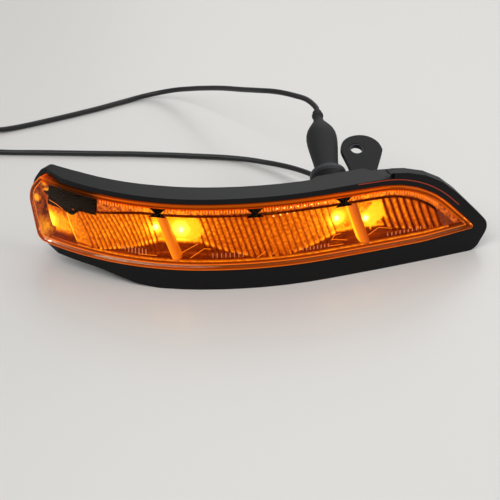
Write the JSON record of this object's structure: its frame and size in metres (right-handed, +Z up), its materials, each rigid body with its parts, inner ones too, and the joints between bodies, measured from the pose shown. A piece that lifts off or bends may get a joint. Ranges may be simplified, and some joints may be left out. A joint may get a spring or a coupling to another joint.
{
  "type": "mirror turn signal lamp",
  "caption": "Curved side turn signal lamp for a door mirror: clear lens over fluted amber chambers, black housing, screw ear, courtesy bulb holder and leads.",
  "frame": {"origin": "centre of the bottom of the lamp's bounding box, leads left out, on the surface it stands on", "axes": "+X along the lamp towards its pointed end, +Y from the lens to the back, +Z up"},
  "size_m": [0.3132, 0.2033, 0.0514],
  "materials": {
    "black_abs": "black moulded ABS, fine grain",
    "clear_polycarbonate": "clear polycarbonate lit amber from inside",
    "metallised_plastic": "metallised plastic lit amber",
    "circuit_board": "green solder mask",
    "amber_led": "lit amber light emitting diode",
    "zinc_steel": "bright zinc plate",
    "component_epoxy": "black epoxy",
    "aluminium_can": "bare can",
    "wire_insulation": "red wire insulation",
    "bulb_glass": "clear bulb glass",
    "grey_nylon": "dark grey glass filled nylon",
    "silicone_seal": "red silicone",
    "black_rubber": "satin black rubber",
    "tinned_brass": "tinned blades"
  },
  "bodies": {
    "root": {"housing": "black_abs", "lens": "clear_polycarbonate", "reflector": "metallised_plastic", "trim_strip": "clear_polycarbonate", "trim_clip_1": "black_abs", "trim_clip_2": "black_abs", "trim_clip_3": "black_abs", "post_cover_1": "clear_polycarbonate", "post_cover_2": "clear_polycarbonate", "led_board_1": "circuit_board", "led_board_2": "circuit_board", "led_1": "amber_led", "led_2": "amber_led", "led_3": "amber_led", "led_4": "amber_led", "driver_board": "circuit_board", "board_screw_1": "zinc_steel", "board_screw_2": "zinc_steel", "resistor_1": "component_epoxy", "resistor_2": "component_epoxy", "rectifier_diode": "component_epoxy", "smoothing_capacitor": "aluminium_can", "jumper_wire_1": "wire_insulation", "jumper_wire_2": "wire_insulation", "end_light_guide": "clear_polycarbonate", "end_reflector": "metallised_plastic", "end_board": "circuit_board", "end_led": "amber_led", "end_bezel": "black_abs", "courtesy_window": "clear_polycarbonate", "courtesy_reflector": "metallised_plastic", "courtesy_bulb": "bulb_glass", "bulb_holder": "grey_nylon", "holder_seal": "silicone_seal", "holder_boot": "black_rubber", "ear_bush": "zinc_steel", "cable_gland": "black_rubber", "lamp_cable": "black_rubber", "courtesy_cable": "black_rubber", "lamp_plug": "black_abs", "courtesy_plug": "black_abs", "lamp_plug_blade_1": "tinned_brass", "lamp_plug_blade_2": "tinned_brass", "courtesy_plug_blade_1": "tinned_brass", "courtesy_plug_blade_2": "tinned_brass"}
  },
  "joints": []
}
